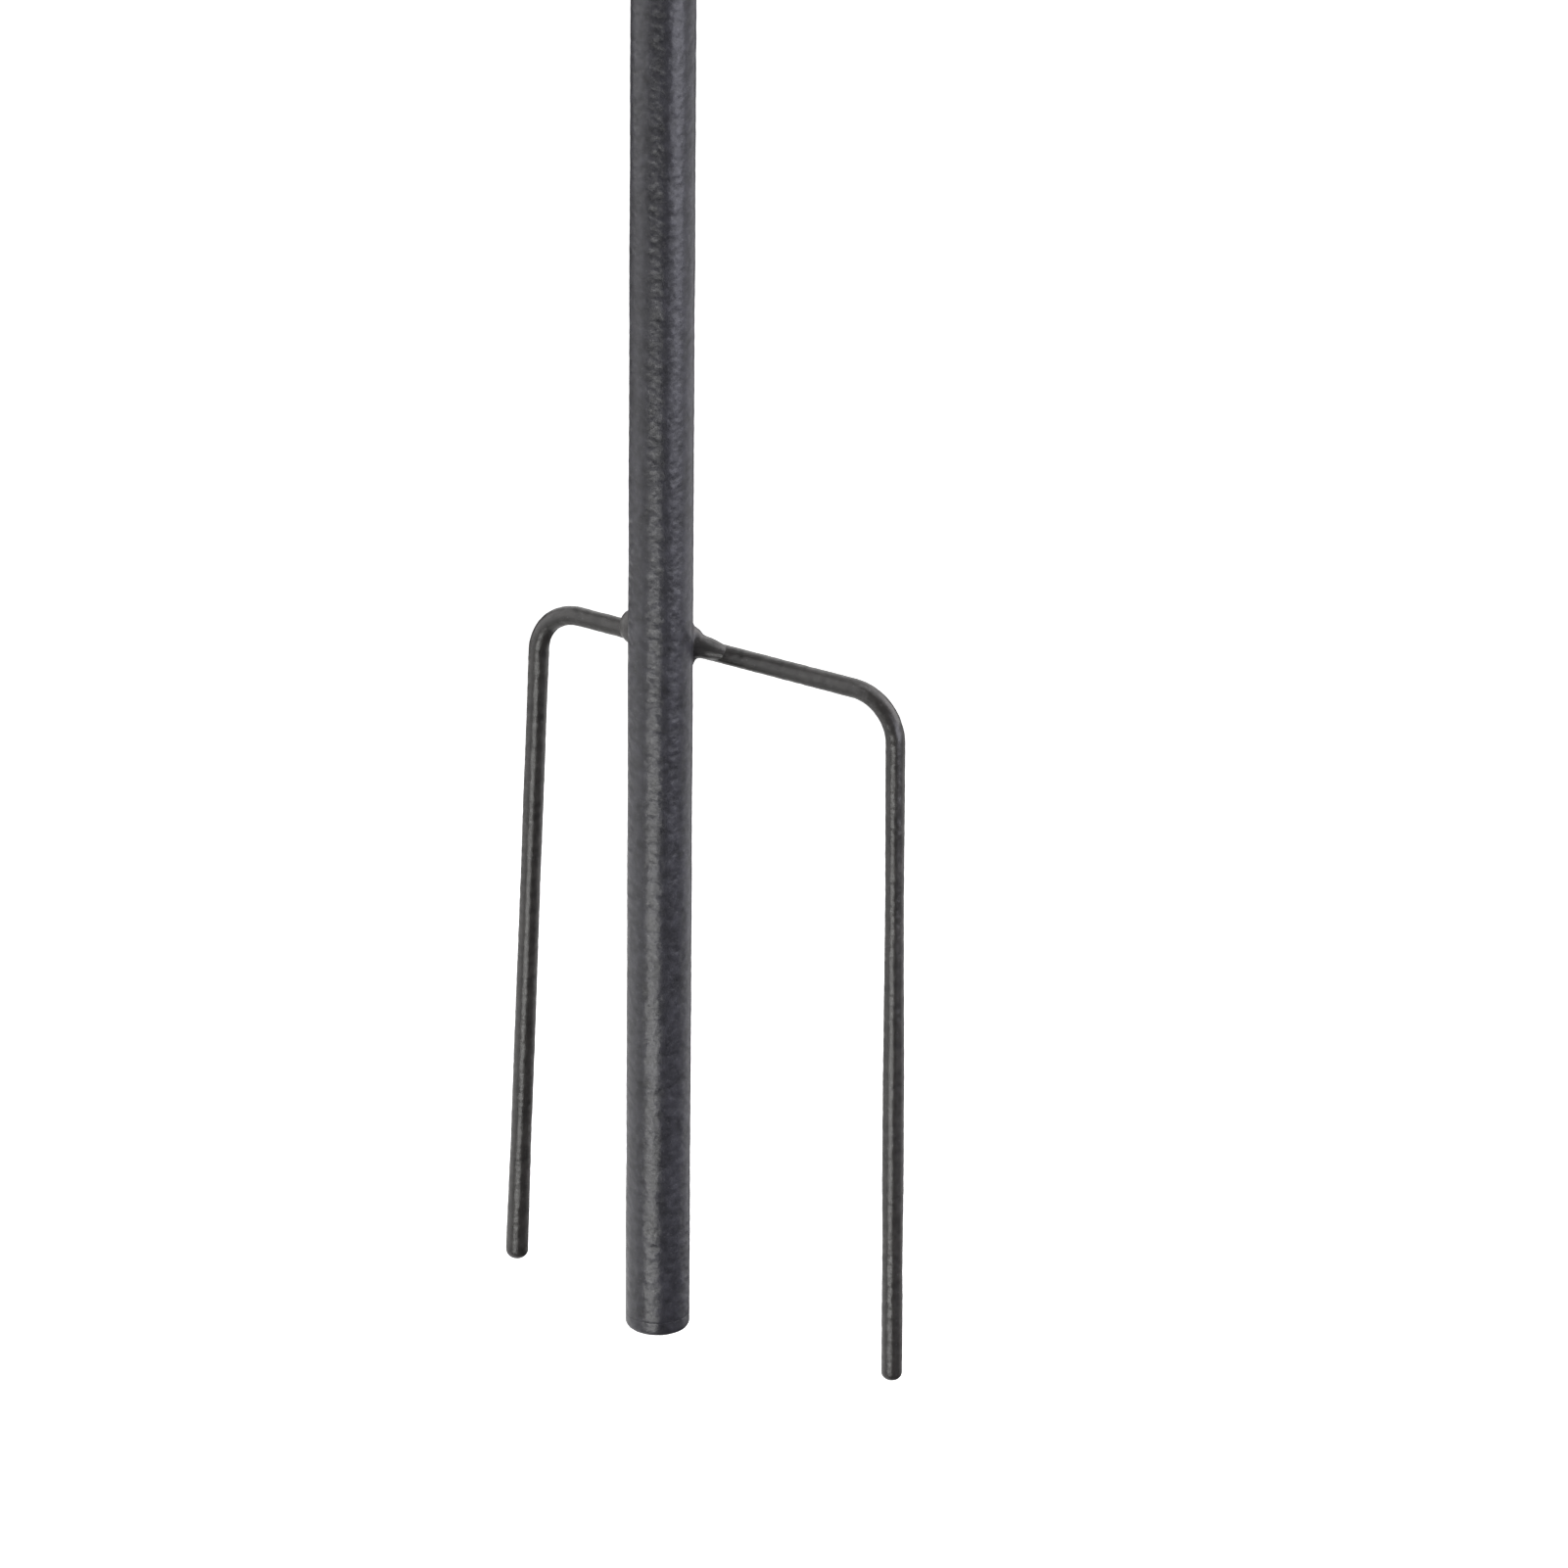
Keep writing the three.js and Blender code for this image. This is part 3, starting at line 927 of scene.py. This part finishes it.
def make_camera(studio):
    """A distant camera with a long lens, at the studio's viewing angle."""
    azimuth, elevation = studio.azimuth, studio.elevation
    level_right = Vector((math.cos(azimuth), math.sin(azimuth), 0))
    back = Vector((math.sin(azimuth) * math.cos(elevation),
                   -math.cos(azimuth) * math.cos(elevation), math.sin(elevation)))
    level_up = back.cross(level_right)
    right = level_right * math.cos(studio.roll) + level_up * math.sin(studio.roll)
    up = back.cross(right)
    target = level_right * studio.aim_right + Vector((0, 0, studio.aim_height))
    data = bpy.data.cameras.new("camera")
    data.sensor_width = SENSOR_WIDTH
    data.lens = data.sensor_width * studio.distance / studio.frame_width
    data.clip_start, data.clip_end = CLIP_START, CLIP_END
    camera = bpy.data.objects.new("camera", data)
    turn = Matrix((right, up, back)).transposed().to_4x4()
    camera.matrix_world = Matrix.Translation(target + back * studio.distance) @ turn
    bpy.context.scene.collection.objects.link(camera)
    bpy.context.scene.camera = camera


class STAKE_OT_stage(bpy.types.Operator):
    """Make the floor, the lights and the camera"""

    bl_idname = "garden_stake.stage"
    bl_label = "Stage"

    def execute(self, context):
        studio = settings().studio
        make_camera(studio)
        make_floor(studio)
        make_lights(studio)
        make_world()
        context.scene.view_settings.view_transform = "Standard"
        return {"FINISHED"}


class STAKE_PT_panel(bpy.types.Panel):
    """The settings and operators of the stake"""

    bl_idname = "STAKE_PT_panel"
    bl_label = "Garden stake"
    bl_space_type = "VIEW_3D"
    bl_region_type = "UI"
    bl_category = "Stake"

    def draw(self, context):
        layout = self.layout
        for group_name in ("pole", "sleeve", "fork", "weld", "coat", "studio"):
            group = getattr(settings(), group_name)
            box = layout.box()
            box.label(text=group_name.capitalize())
            for name in group.__annotations__:
                box.prop(group, name)
        for operator in OPERATORS:
            layout.operator(operator.bl_idname)


OPERATORS = (
    STAKE_OT_stage,
    STAKE_OT_lower_pole,
    STAKE_OT_foot_plug,
    STAKE_OT_fork,
    STAKE_OT_welds,
    STAKE_OT_sleeve,
    STAKE_OT_upper_pole,
    STAKE_OT_top_cap,
)
CLASSES = (
    PoleSettings,
    SleeveSettings,
    ForkSettings,
    WeldSettings,
    CoatSettings,
    StudioSettings,
    StakeSettings,
    *OPERATORS,
    STAKE_PT_panel,
)


def register():
    for cls in CLASSES:
        bpy.utils.register_class(cls)
    bpy.types.Scene.garden_stake = PointerProperty(type=StakeSettings)


def unregister():
    del bpy.types.Scene.garden_stake
    for cls in reversed(CLASSES):
        bpy.utils.unregister_class(cls)


def main():
    register()
    bpy.ops.garden_stake.stage()
    bpy.ops.garden_stake.lower_pole()
    bpy.ops.garden_stake.foot_plug()
    bpy.ops.garden_stake.fork()
    bpy.ops.garden_stake.welds()
    bpy.ops.garden_stake.sleeve()
    bpy.ops.garden_stake.upper_pole()
    bpy.ops.garden_stake.top_cap()


if __name__ == "__main__":
    main()
